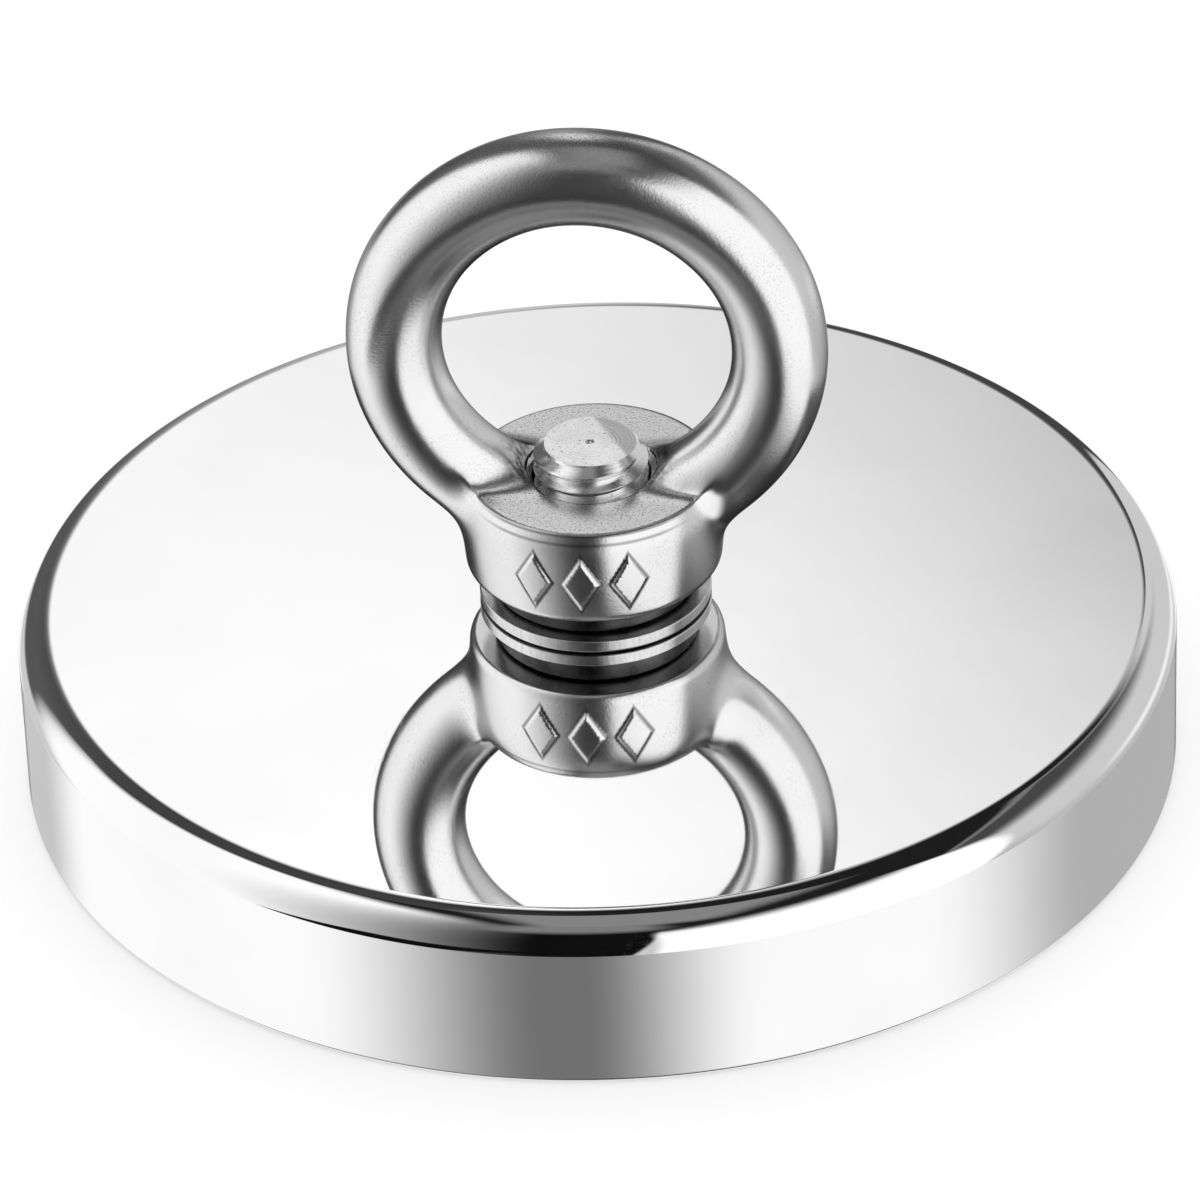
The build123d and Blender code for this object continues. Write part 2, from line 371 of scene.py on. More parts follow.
def bolt():
    """Countersunk socket bolt with its real helical thread, head down."""
    sides = SMALL_SIDES
    turn = full_turn(sides)
    hexagon = SOCKET_AF / 2 / np.cos((turn + pi / 6) % (pi / 3) - pi / 6)
    mouth = np.maximum(hexagon, MOUTH_CLEAR_R)
    socket_top = BOLT_FACE + SOCKET_DEPTH
    head_top = BOLT_FACE + HEAD_LAND + BOLT_HEAD_R - SHANK_R
    head = ring_rows(
        turn, (CENTRE_R, socket_top + DRILL_POINT_H),
        (SOCKET_AF / 2 - DRILL_INSET, socket_top + DRILL_STEP),
        (hexagon - SOCKET_FILLET_W, socket_top), (hexagon, socket_top - SOCKET_FILLET_H),
        (hexagon, BOLT_FACE + MOUTH_BEVEL_H),
        (mouth + MOUTH_BEVEL_W, BOLT_FACE), (mouth + MOUTH_LAND_W, BOLT_FACE),
        (BOLT_HEAD_R - HEAD_EDGE_R - HEAD_LAND_W, BOLT_FACE),
        (BOLT_HEAD_R - HEAD_EDGE_R, BOLT_FACE),
        (BOLT_HEAD_R - HEAD_EDGE_STEP, BOLT_FACE + HEAD_EDGE_STEP),
        (BOLT_HEAD_R, BOLT_FACE + HEAD_EDGE_R), (BOLT_HEAD_R, BOLT_FACE + HEAD_LAND),
        (SHANK_R, head_top), (SHANK_R, THREAD_START - THREAD_RUN_UP), (THREAD_R, THREAD_START),
    )
    thread, thread_count = thread_rows(sides)
    end_radii = np.linspace(END_R, PIP_R + PIP_EDGE_W, END_ROWS)
    tip = ring_rows(
        turn, *((radius, end_height(radius, turn)) for radius in end_radii),
        (PIP_R, BOLT_END), (PIP_R / 2, BOLT_END - PIP_SIDE_H), (CENTRE_R, BOLT_END - PIP_DEPTH),
    )
    parts = (
        (head, len(head) // sides, True), (thread, thread_count, False),
        (tip, len(tip) // sides, True),
    )
    points, faces, used = [], [], 0
    for part, rows, meets_itself in parts:
        per_row = len(part) // rows
        quads = strips(rows, per_row, wrap=False)
        if not meets_itself:
            quads = quads[quads[:, 0] % per_row != per_row - 1]
        faces += (quads + used).tolist()
        points.append(part)
        used += len(part)
    return weld(put_mesh("bolt_threaded", np.concatenate(points), faces), angle=28)


# ---------------------------------------------------------------- eye nut

def smooth_min(a, b, blend):
    """Union of two distances with a fillet of about the blend size."""
    near = np.clip(1 - np.abs(a - b) / (1.5 * blend), 0, 1)
    return np.minimum(a, b) - blend / 4 * near**3


def smooth_max(a, b, blend):
    """Overlap of two distances, with its edge rounded in the same way."""
    return -smooth_min(-a, -b, blend)


def smooth_step(value, low, high):
    """0 below low and 1 above high, with a smooth rise between."""
    share = np.clip((value - low) / (high - low), 0, 1)
    return share * share * (3 - 2 * share)


def raised_marks(x, y, z):
    """Height of the row of cast lozenges on the collar's front."""
    around = np.arctan2(x, -y) * (COLLAR_FOOT_R + COLLAR_BULGE)
    nearest = np.clip(np.round(around / MARK_SPACING), -(MARK_COUNT // 2), MARK_COUNT // 2)
    across = np.abs(around - nearest * MARK_SPACING)
    up = np.abs(z - MARK_HEIGHT)
    inside = (1 - across / MARK_HALF_W - up / MARK_HALF_H) / MARK_SLANT
    return MARK_RELIEF * smooth_step(inside, -0.3, 0.25)


def eye_nut_distance(x, y, z):
    """Signed distance to the eye nut's surface, near it."""
    out = np.hypot(x, y)
    up = (z - NUT_FOOT - COLLAR_H / 2) / (COLLAR_H / 2)
    side = out - COLLAR_FOOT_R - COLLAR_BULGE * (1 - up * up) - raised_marks(x, y, z)
    run = COLLAR_FOOT_R - COLLAR_TOP_R
    slant = sqrt(run**2 + COLLAR_SHOULDER_H**2)
    shoulder = ((out - COLLAR_TOP_R) * COLLAR_SHOULDER_H + (z - COLLAR_TOP) * run) / slant
    chamfer = (out - COLLAR_FOOT_R + COLLAR_CHAMFER + NUT_FOOT - z) / sqrt(2)
    collar = smooth_max(smooth_max(side, shoulder, SHOULDER_BLEND), chamfer, COLLAR_FOOT_BLEND)
    collar = smooth_max(collar, z - COLLAR_TOP, COLLAR_TOP_BLEND)
    around_eye = np.hypot(x, z - EYE_CENTRE)
    eye = np.hypot(around_eye - EYE_MEAN_R, y) - SECTION_R
    wall = (SPOTFACE_R + TOE_DRAFT * (z - COLLAR_TOP) - out) / sqrt(1 + TOE_DRAFT**2)
    eye = smooth_max(eye, np.minimum(wall, EYE_CENTRE - z), TOE_BLEND)
    on_top = smooth_step(z, COLLAR_TOP - 1.5, COLLAR_TOP) * (1 - smooth_step(out, 11, 13.5))
    body = smooth_min(collar, eye, ROOT_BLEND - ROOT_BLEND_LESS * on_top)
    # A casting is never quite even, which shows in what the ring reflects
    wobble = 0.012 * np.sin(0.4 * x + 1.3) * np.sin(0.45 * z + 0.4)
    wobble = wobble + 0.01 * np.sin(0.6 * y + 0.3 * z)
    body = body + wobble * smooth_step(z, COLLAR_TOP - 2, COLLAR_TOP + 4)
    body = smooth_max(body, NUT_FOOT - z, NUT_FOOT_BLEND)
    mouth = np.clip(np.minimum(z - NUT_FOOT, COLLAR_TOP - z), 0, NUT_BORE_CHAMFER)
    bore = np.maximum(out - NUT_BORE_R - NUT_BORE_CHAMFER + mouth, z - EYE_CENTRE)
    return smooth_max(body, -bore, NUT_BORE_BLEND)


def slope(distance, points):
    """Gradient of a distance at points."""
    step = 0.01
    parts = []
    for axis in np.eye(3) * step:
        parts.append(distance(*(points + axis).T) - distance(*(points - axis).T))
    return np.stack(parts, -1) / (2 * step)


def surface_net(distance, low, high, step):
    """Quads over a distance's zero surface, with their corners moved onto it."""
    axes = [np.arange(a, b + step, step) for a, b in zip(low, high)]
    field = distance(*np.meshgrid(*axes, indexing="ij"))
    solid = field < 0
    cells = tuple(n - 1 for n in solid.shape)
    corner_sum = sum(
        solid[i:i + cells[0], j:j + cells[1], k:k + cells[2]].astype(np.int8)
        for i in (0, 1) for j in (0, 1) for k in (0, 1)
    )
    crossed = (corner_sum > 0) & (corner_sum < 8)
    number = np.full(cells, -1)
    number[crossed] = np.arange(crossed.sum())
    where = zip(axes, np.nonzero(crossed))
    points = np.stack([axis[index] + step / 2 for axis, index in where], -1)
    for _ in range(5):  # a corner moves by at most 0.6 of a step along each axis
        gradient = slope(distance, points)
        length = np.maximum((gradient**2).sum(-1), 0.04)
        move = (distance(*points.T) / length)[:, None] * gradient
        points = points - np.clip(move, -0.6 * step, 0.6 * step)
    faces = []
    for axis in range(3):
        b, c = (axis + 1) % 3, (axis + 2) % 3
        here = [slice(1, -1)] * 3
        here[axis] = slice(0, -1)
        there = list(here)
        there[axis] = slice(1, None)
        near, far = solid[tuple(here)], solid[tuple(there)]
        at = np.argwhere(near != far) + np.where(np.arange(3) == axis, 0, 1)
        forward = near[near != far]
        square = []
        for back_b, back_c in ((1, 1), (0, 1), (0, 0), (1, 0)):
            cell = at.copy()
            cell[:, b] -= back_b
            cell[:, c] -= back_c
            square.append(number[tuple(cell.T)])
        quads = np.stack(square, -1)
        quads[~forward] = quads[~forward][:, ::-1]
        faces.append(quads)
    return points, np.concatenate(faces)


def eye_nut():
    """Collar and ring in one casting."""
    margin = 1.0
    low = (-EYE_OUTER_R - margin, -COLLAR_FOOT_R - margin, NUT_FOOT - margin)
    high = (EYE_OUTER_R + margin, COLLAR_FOOT_R + margin, NUT_TOP + margin)
    points, quads = surface_net(eye_nut_distance, low, high, NET_STEP)
    piece = put_mesh("eye_nut_casting", points, quads.tolist())
    normals = slope(eye_nut_distance, points)
    normals /= np.linalg.norm(normals, axis=1, keepdims=True)
    piece.data.normals_split_custom_set_from_vertices(normals.tolist())
    return piece


# ---------------------------------------------------------------- materials

class Shader:
    """A node tree with short calls for the nodes that these materials need."""

    def __init__(self, tree):
        self.tree = tree
        self.nodes = tree.nodes

    def put(self, target, value):
        """Link a socket to an input, or set the input's own value."""
        if isinstance(value, bpy.types.NodeSocket):
            self.tree.links.new(value, target)
        else:
            target.default_value = value

    def node(self, kind, inputs=None, **settings):
        made = self.nodes.new("ShaderNode" + kind)
        for key, value in settings.items():
            setattr(made, key, value)
        for key, value in (inputs or {}).items():
            self.put(made.inputs[key], value)
        return made

    def math(self, operation, *values):
        made = self.node("Math", operation=operation)
        for socket, value in zip(made.inputs, values):
            self.put(socket, value)
        return made.outputs[0]

    def dot(self, vector, direction):
        made = self.node("VectorMath", {0: vector, 1: direction}, operation="DOT_PRODUCT")
        return made.outputs["Value"]

    def ramp(self, value, low, high, to_low=0.0, to_high=1.0, kind="LINEAR"):
        made = self.node("MapRange", {
            "Value": value, "From Min": low, "From Max": high, "To Min": to_low, "To Max": to_high,
        }, interpolation_type=kind)
        return made.outputs[0]

    def noise(self, vector, scale, detail=3.0, roughness=0.5):
        made = self.node("TexNoise", {
            "Vector": vector, "Scale": scale, "Detail": detail, "Roughness": roughness,
        })
        return made.outputs["Fac"]

    def place(self, scale=(1, 1, 1), turn=(0, 0, 0)):
        """Object coordinates, scaled and turned."""
        where = self.node("TexCoord").outputs["Object"]
        made = self.node("Mapping", {"Vector": where, "Scale": scale, "Rotation": turn})
        return made.outputs[0]

    def millimetres(self):
        """Object coordinates in millimetres."""
        return self.place((1 / MM, 1 / MM, 1 / MM))

    def radius(self, where):
        """Distance of a place from the Z axis."""
        flat = self.node("VectorMath", {0: where, 1: (1, 1, 0)}, operation="MULTIPLY").outputs[0]
        return self.node("VectorMath", {0: flat}, operation="LENGTH").outputs["Value"]

    def grey(self, value, first, second):
        """The first colour where value is 0 and the second where it is 1."""
        made = self.node("Mix", data_type="RGBA")
        self.put(made.inputs[0], value)
        for socket, colour in ((made.inputs[6], first), (made.inputs[7], second)):
            is_socket = isinstance(colour, bpy.types.NodeSocket)
            self.put(socket, colour if is_socket else (*colour, 1))
        return made.outputs[2]

    def bump(self, height, depth, under=None):
        """Normals of a relief that is depth millimetres high, over those of another."""
        made = self.node("Bump", {"Height": height, "Distance": depth * MM, "Strength": 1.0})
        if under is not None:
            self.put(made.inputs["Normal"], under)
        return made.outputs[0]


EDGE_TINT = (0.25, 0.25, 0.25, 1)  # the casting's dark glancing reflection


def material(name, metallic):
    """A new material, the calls for its nodes, and its surface shader."""
    made = bpy.data.materials.new(name)
    made.use_nodes = True
    shader = Shader(made.node_tree)
    surface = made.node_tree.nodes["Principled BSDF"]
    surface.inputs["Metallic"].default_value = metallic
    return made, shader, surface


def scratches(shader, density, width, turn):
    """Fine straight scratches: 1 on a scratch and 0 between."""
    where = shader.place((density, density * 0.03, density), (0, 0, turn))
    lines = shader.math("SUBTRACT", shader.noise(where, 1.0, 2.0), 0.5)
    return shader.ramp(shader.math("ABSOLUTE", lines), 0.0, width, 1, 0)


def bright_plating():
    """Mirror plating with faint smudges, hairline scratches, and painted shade on its foot
    chamfers.
    """
    made, shader, surface = material("bright_plating", 1.0)
    smudge = shader.ramp(shader.noise(shader.place(), 38.0, 4.0), 0.45, 0.75)
    hair = shader.math(
        "MAXIMUM", scratches(shader, 900.0, 0.004, 0.4), scratches(shader, 700.0, 0.003, 2.1)
    )
    patches = shader.ramp(shader.noise(shader.place(), 60.0, 2.0), 0.5, 0.7)
    scratched = shader.math("MULTIPLY", shader.math("MULTIPLY", hair, patches), 0.1)
    rough = shader.math("ADD", shader.ramp(smudge, 0, 1, 0.022, 0.05), scratched)
    shader.put(surface.inputs["Roughness"], rough)
    polish = shader.grey(smudge, (0.985, 0.985, 0.985), (0.94, 0.94, 0.94))
    height = shader.dot(shader.place(), (0, 0, 1))
    # Painted shade: the chamfers at the foot, next to the floor, are darkened to grey
    painted_chamfer_shade = shader.math(
        "MULTIPLY", shader.ramp(height, 0.02 * MM, 0.08 * MM),
        shader.ramp(height, (RIM_CHAMFER - 0.05) * MM, (RIM_CHAMFER + 0.1) * MM, 1, 0),
    )
    shader.put(surface.inputs["Base Color"], shader.grey(painted_chamfer_shade, polish, (0.3, 0.3, 0.3)))
    wave = shader.noise(shader.place(), 90.0, 1.0)
    shader.put(surface.inputs["Normal"], shader.bump(wave, 0.004))
    return made


def nickel_plating():
    """Satin nickel on a pressed and sintered ring."""
    made, shader, surface = material("nickel_plating", 1.0)
    grain = shader.noise(shader.place(), 1600.0, 3.0)
    cloud = shader.noise(shader.place(), 60.0, 4.0)
    hair = scratches(shader, 500.0, 0.01, 1.2)
    scratched = shader.math("MULTIPLY", hair, 0.12)
    rough = shader.math("ADD", shader.ramp(cloud, 0.3, 0.7, 0.16, 0.3), scratched)
    shader.put(surface.inputs["Roughness"], rough)
    nickel = shader.grey(cloud, (0.62, 0.6, 0.56), (0.7, 0.685, 0.65))
    shader.put(surface.inputs["Base Color"], nickel)
    shader.put(surface.inputs["Normal"], shader.bump(grain, 0.02))
    return made


def painted_mark_shade(shader):
    """Painted shade: 1 in a band along the foot of the cast lozenges, in the crease round them."""
    x, y, z = shader.node("SeparateXYZ", {0: shader.millimetres()}).outputs
    turn = shader.math("ARCTAN2", x, shader.math("MULTIPLY", y, -1.0))
    around = shader.math("MULTIPLY", turn, (COLLAR_FOOT_R + COLLAR_BULGE) / MARK_SPACING)
    nearest = shader.math("MINIMUM", shader.math("ROUND", around), MARK_COUNT // 2)
    nearest = shader.math("MAXIMUM", nearest, -(MARK_COUNT // 2))
    across = shader.math("ABSOLUTE", shader.math("SUBTRACT", around, nearest))
    up = shader.math("ABSOLUTE", shader.math("SUBTRACT", z, MARK_HEIGHT))
    away = shader.math(
        "MULTIPLY_ADD", across, MARK_SPACING / MARK_HALF_W, shader.math("DIVIDE", up, MARK_HALF_H)
    )
    outside = shader.math("DIVIDE", shader.math("SUBTRACT", away, 1.0), MARK_SLANT)
    return shader.math(
        "MULTIPLY", shader.ramp(outside, 0.0, 0.18), shader.ramp(outside, 0.28, 0.5, 1, 0)
    )


# Painted dark lines near the collar's top: height, half width and strength.
# The first is painted shade in the crease under the shoulder, the second a painted dark reflection
# along the top's edge
PAINTED_DARK_LINES = (
    (COLLAR_TOP - COLLAR_SHOULDER_H, 0.24, 0.75),
    (COLLAR_TOP - 0.22, 0.2, 0.9),
)
DARK_LINE_R = (12.0, 12.3)  # the lines begin across these radii
DARK_LINE_X = (8.0, 11.0)  # and fade out over this stretch to either side
# Painted shade on the ring's toes beside the bolt: radii, foot and top over which it fades, and
# what is left above the toes
TOE_SHADE_R = (7.2, 9.6)
TOE_SHADE_FOOT = (COLLAR_TOP + 0.2, COLLAR_TOP + 0.7)
TOE_SHADE_TOP = (COLLAR_TOP + 3, COLLAR_TOP + 8)
SHADE_ABOVE_TOES = 0.12


def painted_casting_shade(shader):
    """Painted shade and painted dark reflection, from 0 to 1.

    That is a dark line along the edge of the collar's top, shade along the crease under its
    shoulder, and shade on the ring's toes beside the bolt."""
    where = shader.millimetres()
    level = shader.dot(where, (0, 0, 1))
    radius = shader.radius(where)
    # skin here adds up the painted dark lines: shade in the crease, dark reflection along the edge
    skin = 0.0
    for height, half_width, strength in PAINTED_DARK_LINES:
        away = shader.math("ABSOLUTE", shader.math("SUBTRACT", level, height))
        line = shader.ramp(away, half_width / 4, half_width, strength, 0)
        skin = shader.math("MAXIMUM", skin, line)
    sideways = shader.math("ABSOLUTE", shader.dot(where, (1, 0, 0)))
    rim = shader.math(
        "MULTIPLY", shader.ramp(radius, *DARK_LINE_R), shader.ramp(sideways, *DARK_LINE_X, 1, 0)
    )
    skin = shader.math("MULTIPLY", skin, rim)
    # Painted shade on the toes beside the bolt, mottled, fading further up the ring
    toes = shader.math(
        "MULTIPLY", shader.ramp(level, *TOE_SHADE_FOOT), shader.ramp(radius, *TOE_SHADE_R, 1, 0)
    )
    toes = shader.math("MULTIPLY", toes, shader.ramp(level, *TOE_SHADE_TOP, 1, SHADE_ABOVE_TOES))
    mottled = shader.ramp(shader.noise(shader.place(), 1500.0, 3.0, 0.6), 0.4, 0.6, 0.35, 1.15)
    return shader.math("MAXIMUM", skin, shader.math("MULTIPLY", toes, mottled))


def cast_stainless():
    """Tumbled casting: satin, with a fine blasted grain that is densest where it faces up."""
    made, shader, surface = material("cast_stainless", 1.0)
    upward = shader.dot(shader.node("NewGeometry").outputs["Normal"], (0, 0, 1))
    patches = shader.ramp(shader.noise(shader.place(), 170.0, 3.0), 0.42, 0.68, 0.0, 0.3)
    density = shader.math("MAXIMUM", patches, shader.ramp(upward, 0.75, 0.99, 0, 0.7))
    pits = shader.ramp(shader.noise(shader.place(), 4200.0, 2.0, 0.6), 0.54, 0.66)
    pitted = shader.math("MULTIPLY", pits, density)
    blasted = shader.ramp(density, 0, 1, 0.2, 0.26)
    rough = shader.math("ADD", blasted, shader.math("MULTIPLY", pitted, 0.12))
    shader.put(surface.inputs["Roughness"], rough)
    # Painted shade at the lozenges' foot, in the crease under the shoulder and beside the bolt, and
    # a painted dark reflection along the collar top's edge
    dark = shader.math("MAXIMUM", pitted, painted_mark_shade(shader))
    dark = shader.math("MAXIMUM", dark, painted_casting_shade(shader))
    steel = shader.grey(dark, (0.9, 0.9, 0.9), (0.3, 0.3, 0.3))
    shader.put(surface.inputs["Base Color"], steel)
    surface.inputs["Specular Tint"].default_value = EDGE_TINT
    grain = shader.noise(shader.place(), 3600.0, 3.0, 0.65)
    shader.put(surface.inputs["Normal"], shader.bump(grain, 0.012))
    return made


def machined_steel():
    """Turned and rolled bolt steel with faint rings round its axis."""
    made, shader, surface = material("machined_steel", 1.0)
    where = shader.place()
    rings = shader.node(
        "TexNoise", {"W": shader.radius(where), "Scale": 5200.0, "Detail": 2.0},
        noise_dimensions="1D",
    )
    cloud = shader.noise(where, 300.0, 4.0)
    specks = shader.ramp(shader.noise(where, 4200.0, 2.0), 0.64, 0.72)
    turned = shader.ramp(cloud, 0.3, 0.7, 0.16, 0.27)
    rough = shader.math("ADD", turned, shader.math("MULTIPLY", specks, 0.25))
    shader.put(surface.inputs["Roughness"], rough)
    steel = shader.grey(specks, (0.96, 0.96, 0.96), (0.55, 0.55, 0.55))
    shader.put(surface.inputs["Base Color"], steel)
    shader.put(surface.inputs["Normal"], shader.bump(rings.outputs["Fac"], 0.006))
    return made


CONTACT_SHADE_HEIGHTS = (WASHER_FOOT + 0.2, WASHER_FOOT + 0.34)  # heights across which the washer's painted contact shade ends


def pressed_stainless():
    """Flat washer steel: fine shear marks across its edge, and painted contact shade at its foot.
    """
    made, shader, surface = material("pressed_stainless", 1.0)
    streaks = shader.noise(shader.place((1, 1, 0.25)), 2400.0, 3.0)
    cloud = shader.noise(shader.place(), 260.0, 3.0)
    shader.put(surface.inputs["Roughness"], shader.ramp(cloud, 0.3, 0.7, 0.18, 0.3))
    steel = shader.grey(streaks, (0.95, 0.95, 0.95), (0.6, 0.6, 0.6))
    # Painted contact shade: the foot, where the washer sits on the plate, is made nearly black
    level = shader.dot(shader.millimetres(), (0, 0, 1))
    painted_contact_shade = shader.ramp(level, *CONTACT_SHADE_HEIGHTS, 1, 0)
    shader.put(surface.inputs["Base Color"], shader.grey(painted_contact_shade, steel, (0.03, 0.03, 0.03)))
    shader.put(surface.inputs["Normal"], shader.bump(streaks, 0.01))
    return made


def tempered_steel():
    """Spring steel, very dark all over, with a paler rub where it's flexed."""
    made, shader, surface = material("tempered_steel", 1.0)
    cloud = shader.ramp(shader.noise(shader.place(), 320.0, 4.0), 0.35, 0.7)
    scale = shader.noise(shader.place(), 2600.0, 3.0)
    shader.put(surface.inputs["Roughness"], shader.ramp(cloud, 0, 1, 0.24, 0.38))
    very_dark_steel = shader.grey(cloud, (0.05, 0.05, 0.052), (0.15, 0.15, 0.15))
    shader.put(surface.inputs["Base Color"], very_dark_steel)
    shader.put(surface.inputs["Normal"], shader.bump(scale, 0.012))
    return made


def black_epoxy():
    """Poured epoxy, glossy with a slight skin and pinholes."""
    made, shader, surface = material("black_epoxy", 0.0)
    skin = shader.noise(shader.place(), 220.0, 3.0)
    pinholes = shader.ramp(shader.noise(shader.place(), 900.0, 1.0), 0.72, 0.78)
    shader.put(surface.inputs["Roughness"], shader.ramp(skin, 0.3, 0.7, 0.12, 0.3))
    resin = shader.grey(skin, (0.012, 0.012, 0.014), (0.03, 0.03, 0.032))
    shader.put(surface.inputs["Base Color"], resin)
    shader.put(surface.inputs["Normal"], shader.bump(pinholes, -0.1, under=shader.bump(skin, 0.03)))
    return made


def cured_glue():
    """Dull adhesive between the magnet and the cup."""
    made, shader, surface = material("cured_glue", 0.0)
    lumps = shader.noise(shader.place(), 500.0, 4.0)
    shader.put(surface.inputs["Roughness"], shader.ramp(lumps, 0.3, 0.7, 0.5, 0.75))
    glue_colour = shader.grey(lumps, (0.55, 0.5, 0.38), (0.72, 0.68, 0.56))
    shader.put(surface.inputs["Base Color"], glue_colour)
    shader.put(surface.inputs["Normal"], shader.bump(lumps, 0.06))
    return made


# ---------------------------------------------------------------- pieces

def dress(piece, body, node, finish):
    """Give a new piece its finish and its body, and hide the CAD node that it stands for."""
    piece.data.materials.clear()
    piece.data.materials.append(finish)
    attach(piece, body)
    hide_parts(node)


epoxy = black_epoxy()
dress(steel_cup(), "pot", "steel_cup", bright_plating())
dress(ring_magnet(), "pot", "ring_magnet", nickel_plating())
outer_seal = poured_seal("outer_seal", MAGNET_R, POCKET_R)
dress(outer_seal, "pot", "outer_epoxy_ring", epoxy)
inner_seal = poured_seal("inner_seal", POLE_R, MAGNET_HOLE_R)
dress(inner_seal, "pot", "inner_epoxy_ring", epoxy)
dress(bolt(), "bolt", "countersunk_bolt", machined_steel())
dress(flat_washer(), "flat_washer", "flat_washer", pressed_stainless())
dress(spring_washer(), "spring_washer", "spring_washer", tempered_steel())
dress(eye_nut(), "eye_nut", "eye_nut", cast_stainless())
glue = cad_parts["glue_bed"]
glue.data.materials.clear()
glue.data.materials.append(cured_glue())


# ---------------------------------------------------------------- camera, floor and studio

# Angles in degrees. The lens, its sensor and the floor in millimetres, the rest in metres.
CAMERA_AZIMUTH = 6.5
CAMERA_ELEVATION = 33.33
CAMERA_ROLL = -2.2
CAMERA_DISTANCE = 0.85
CAMERA_LENS = 246.14
SENSOR_WIDTH = 36.0
CLIP_START, CLIP_END = 0.05, 20.0
LOOK_AT_RIGHT = 0.00038
LOOK_AT_HEIGHT = 0.01756
FLOOR_R = 3000.0
FLOOR_LEVEL = -0.05
FLOOR_SIDES = 64
FLOOR_GLOW = 0.48

AZIMUTH = radians(CAMERA_AZIMUTH)
RIGHTWARDS = Vector((cos(AZIMUTH), sin(AZIMUTH), 0))
TO_CAMERA = Vector((sin(AZIMUTH), -cos(AZIMUTH), 0))


def camera():
    """A long lens, a little rolled, that looks down on the plate."""
    elevation = radians(CAMERA_ELEVATION)
    back = TO_CAMERA * cos(elevation) + Vector((0, 0, sin(elevation)))
    target = RIGHTWARDS * LOOK_AT_RIGHT + Vector((0, 0, LOOK_AT_HEIGHT))
    lens = bpy.data.cameras.new("camera")
    lens.lens = CAMERA_LENS
    lens.sensor_width = SENSOR_WIDTH
    lens.clip_start = CLIP_START
    lens.clip_end = CLIP_END
    made = bpy.data.objects.new("camera", lens)
    aim = back.to_track_quat("Z", "Y").to_matrix().to_4x4()
    roll = Matrix.Rotation(radians(CAMERA_ROLL), 4, "Z")
    made.matrix_world = Matrix.Translation(target + back * CAMERA_DISTANCE) @ aim @ roll
    bpy.context.scene.collection.objects.link(made)
    bpy.context.scene.camera = made


def floor():
    """A pale round floor. From below it can be seen through, so that the magnetic face shows."""
    rim = around_axis(FLOOR_R, full_turn(FLOOR_SIDES), FLOOR_LEVEL)
    made = put_mesh("floor", rim, [list(range(FLOOR_SIDES))])
    paint, shader, surface = material("pale_floor", 0.0)
    speckle = shader.noise(shader.place(), 900.0, 2.0)
    pale = shader.grey(speckle, (0.58, 0.58, 0.58), (0.6, 0.6, 0.6))
    shader.put(surface.inputs["Base Color"], pale)
    surface.inputs["Roughness"].default_value = 0.9
    surface.inputs["Specular IOR Level"].default_value = 0.0
    surface.inputs["Emission Color"].default_value = (1, 1, 1, 1)
    surface.inputs["Emission Strength"].default_value = FLOOR_GLOW
    clear = shader.node("BsdfTransparent")
    behind = shader.node("NewGeometry").outputs["Backfacing"]
    both = shader.node("MixShader", {0: behind, 1: surface.outputs[0], 2: clear.outputs[0]})
    shader.put(paint.node_tree.nodes["Material Output"].inputs["Surface"], both.outputs[0])
    made.data.materials.append(paint)
    made.visible_glossy = False
    made.visible_diffuse = False
    made.visible_shadow = False


class Studio:
    """Light that metal reflects: flat panels round the object, painted one over the other.

    Azimuth is in degrees from the camera, positive to its right. An edge is (angle, blur)."""

    def __init__(self, shader, ambient):
        self.shader = shader
        self.direction = shader.node("TexCoord").outputs["Generated"]
        self.up = shader.dot(self.direction, (0, 0, 1))
        self.light = ambient

    def window(self, value, low, high):
        """1 between two edges and 0 outside."""
        after, past = (
            self.shader.ramp(value, edge - blur, edge + blur, kind="SMOOTHSTEP")
            for edge, blur in (low, high)
        )
        return self.shader.math("SUBTRACT", after, past)

    def degrees(self, y, x):
        """The angle of a direction, in degrees."""
        return self.shader.math("DEGREES", self.shader.math("ARCTAN2", y, x))

    def paint(self, mask, light):
        """Mix a light over what is there, where the mask is 1."""
        kept = self.shader.math("MULTIPLY", self.light, self.shader.math("SUBTRACT", 1.0, mask))
        self.light = self.shader.math("MULTIPLY_ADD", mask, light, kept)

    def panel(self, facing, left, right, foot, top, light, flat=True, lean=0.0):
        """A panel that stands at azimuth facing. If flat, its foot and top are straight edges.

        lean tilts its sides, in degrees sideways per degree of height."""
        turn = radians(facing)
        ahead = TO_CAMERA * cos(turn) + RIGHTWARDS * sin(turn)
        across = RIGHTWARDS * cos(turn) - TO_CAMERA * sin(turn)
        forward = self.shader.dot(self.direction, ahead)
        sideways = self.degrees(self.shader.dot(self.direction, across), forward)
        if flat:
            height = self.degrees(self.up, forward)
        else:
            height = self.shader.math("DEGREES", self.shader.math("ARCSINE", self.up))
        if lean:
            sideways = self.shader.math("MULTIPLY_ADD", height, -lean, sideways)
        mask = self.shader.math(
            "MULTIPLY", self.window(sideways, left, right), self.window(height, foot, top)
        )
        self.paint(mask, light)

    def ceiling(self, left, right, back, front, light):
        """A panel overhead. Its edges are at slopes sideways and towards the camera."""
        overhead = self.shader.math("MAXIMUM", self.up, 0.001)
        sideways, forwards = (
            self.shader.math("DIVIDE", self.shader.dot(self.direction, along), overhead)
            for along in (RIGHTWARDS, TO_CAMERA)
        )
        mask = self.shader.math(
            "MULTIPLY", self.window(sideways, left, right), self.window(forwards, back, front)
        )
        self.paint(mask, light)


TABLE_EDGE = -31.5  # elevation below which the table is seen
OPEN = 400.0  # an edge this far off is no edge


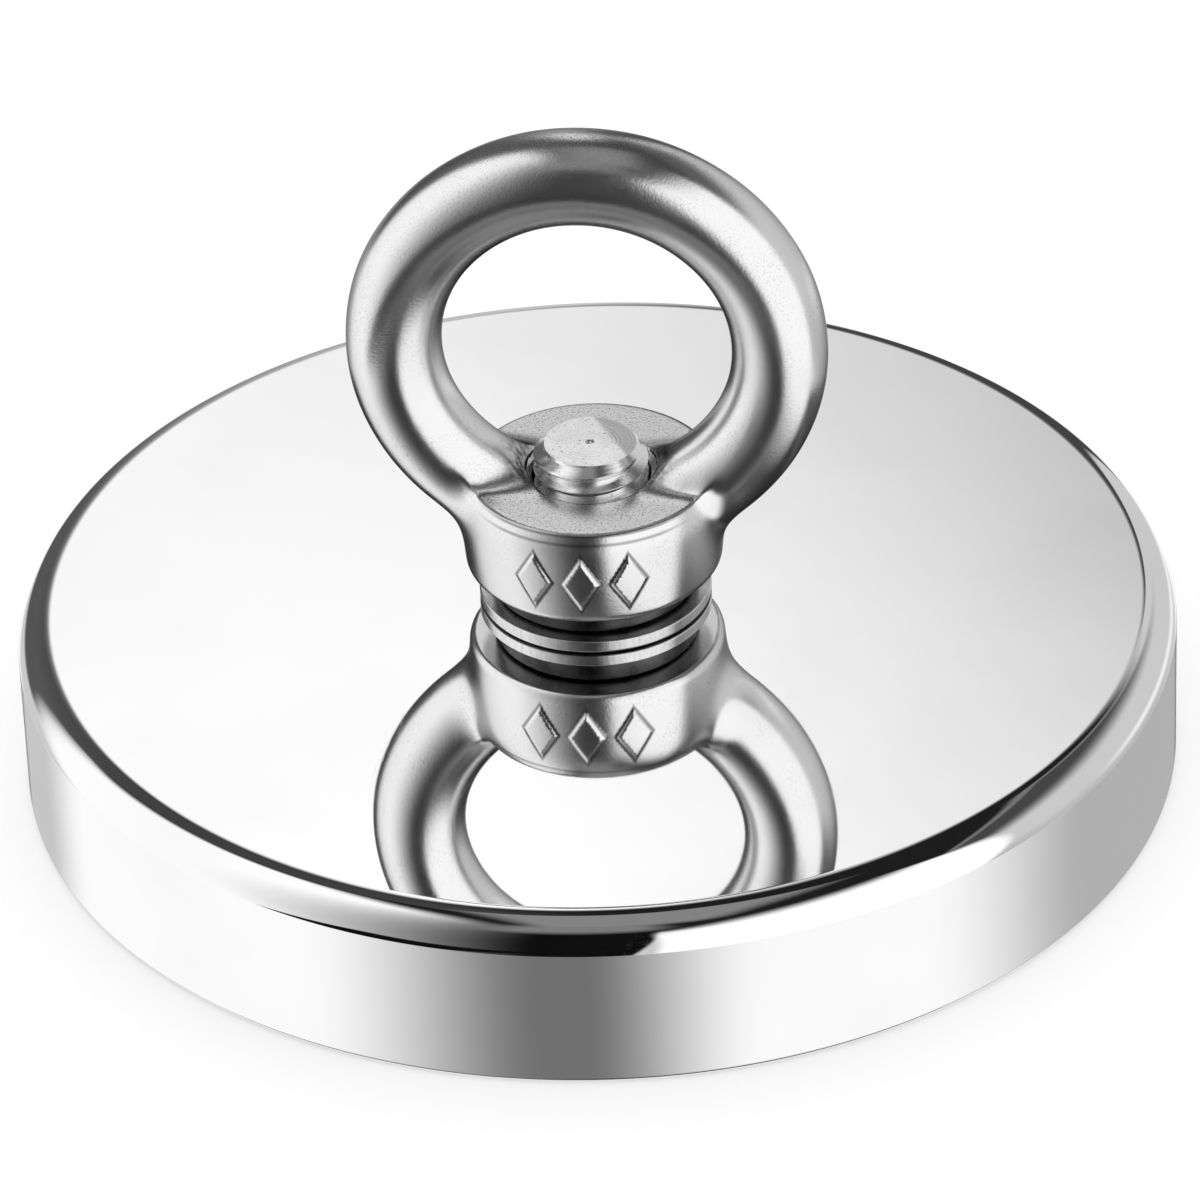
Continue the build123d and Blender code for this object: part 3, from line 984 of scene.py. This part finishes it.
def studio_light(shader):
    """The pattern that glossy rays see: soft boxes, grey walls and the dark round the camera."""
    low, high = (-OPEN, 1.0), (OPEN, 1.0)
    above_table = (TABLE_EDGE - 30, 1.0)  # the table, painted last, covers what is below its edge
    room = Studio(shader, 0.6)
    # Dark upper room, then the panels that stand in front of it
    room.panel(0, low, high, (37, 4), high, 0.012, flat=False)
    room.panel(-155, (-14, 12), (22, 2), (-8, 5), (78, 4), 0.05, flat=False)
    room.panel(-155, (-14, 12), (26, 6), (-8, 5), (34, 20), 0.09, flat=False)
    room.panel(168, (-7, 0.8), (8, 4), (-8, 3), (34, 2), 0.054, flat=False, lean=0.2)
    room.panel(180, (-25, 4), (25, 4), above_table, (-11, 3), 1.05, flat=False)
    # Right: grey wall, shaded towards its top, and a large soft box
    room.panel(122, (-42, 2), (31, 5), above_table, (53, 2), 0.6)
    room.panel(122, (-42, 2), (31, 5), (34, 11), (53, 2), 0.06)
    room.panel(122, (-42, 2), (18, 8), above_table, (-20, 11), 0.5)
    room.panel(140, (-30, 10), (30, 8), (-18, 6), (-10, 5), 0.95, flat=False)
    # Front: the dark round the camera, and the light that falls off from the left soft box
    room.panel(-20, (-70, 5), (27, 0.7), above_table, (54, 7), 0.004, flat=False, lean=0.08)
    room.panel(-82, (-44, 7), (33, 36), above_table, (71, 5), 1.0)
    room.panel(-17, (0, 2), (40, 2), above_table, (-16, 2), 0.004, flat=False, lean=1.75)
    room.panel(-8, (-22, 10), (20, 6), (46, 7), (66, 6), 0.2, flat=False)
    room.panel(70, (-61, 1.5), (8, 2), above_table, (52, 9), 1.05)
    # Back panel, which the plate's flat top reflects
    room.panel(180, (-4.8, 6.2), (8.5, 5.2), (28, 8), (52, 5), 1.03)
    room.ceiling((-0.17, 0.05), (0.28, 0.08), (-0.27, 0.03), (0.5, 0.12), 0.23)
    # Table, with the camera's shadow on it
    under = (TABLE_EDGE, 0.3)
    room.panel(0, low, high, low, under, 0.98, flat=False)
    room.panel(180, (-60, 1), (43, 11), low, under, 0.57, flat=False)
    room.panel(120, (-32, 24), (60, 8), low, under, 0.44, flat=False)
    room.panel(180, (-11, 5), (11, 5), low, under, 0.12, flat=False)
    room.panel(-8, (-31, 26), (21, 19), low, under, 0.165, flat=False)
    return room.light


def studio():
    """White surroundings, in which only glossy rays see the pattern of the panels."""
    world = bpy.data.worlds.new("studio")
    world.use_nodes = True
    bpy.context.scene.world = world
    shader = Shader(world.node_tree)
    pattern = studio_light(shader)
    glossy = shader.node("LightPath").outputs["Is Glossy Ray"]
    seen = shader.node("Mix", {0: glossy, 2: 1.0, 3: pattern}, data_type="FLOAT").outputs[0]
    background = world.node_tree.nodes["Background"]
    shader.put(background.inputs["Strength"], seen)
    background.inputs["Color"].default_value = (1, 1, 1, 1)


camera()
floor()
studio()
bpy.context.scene.view_settings.view_transform = "Standard"
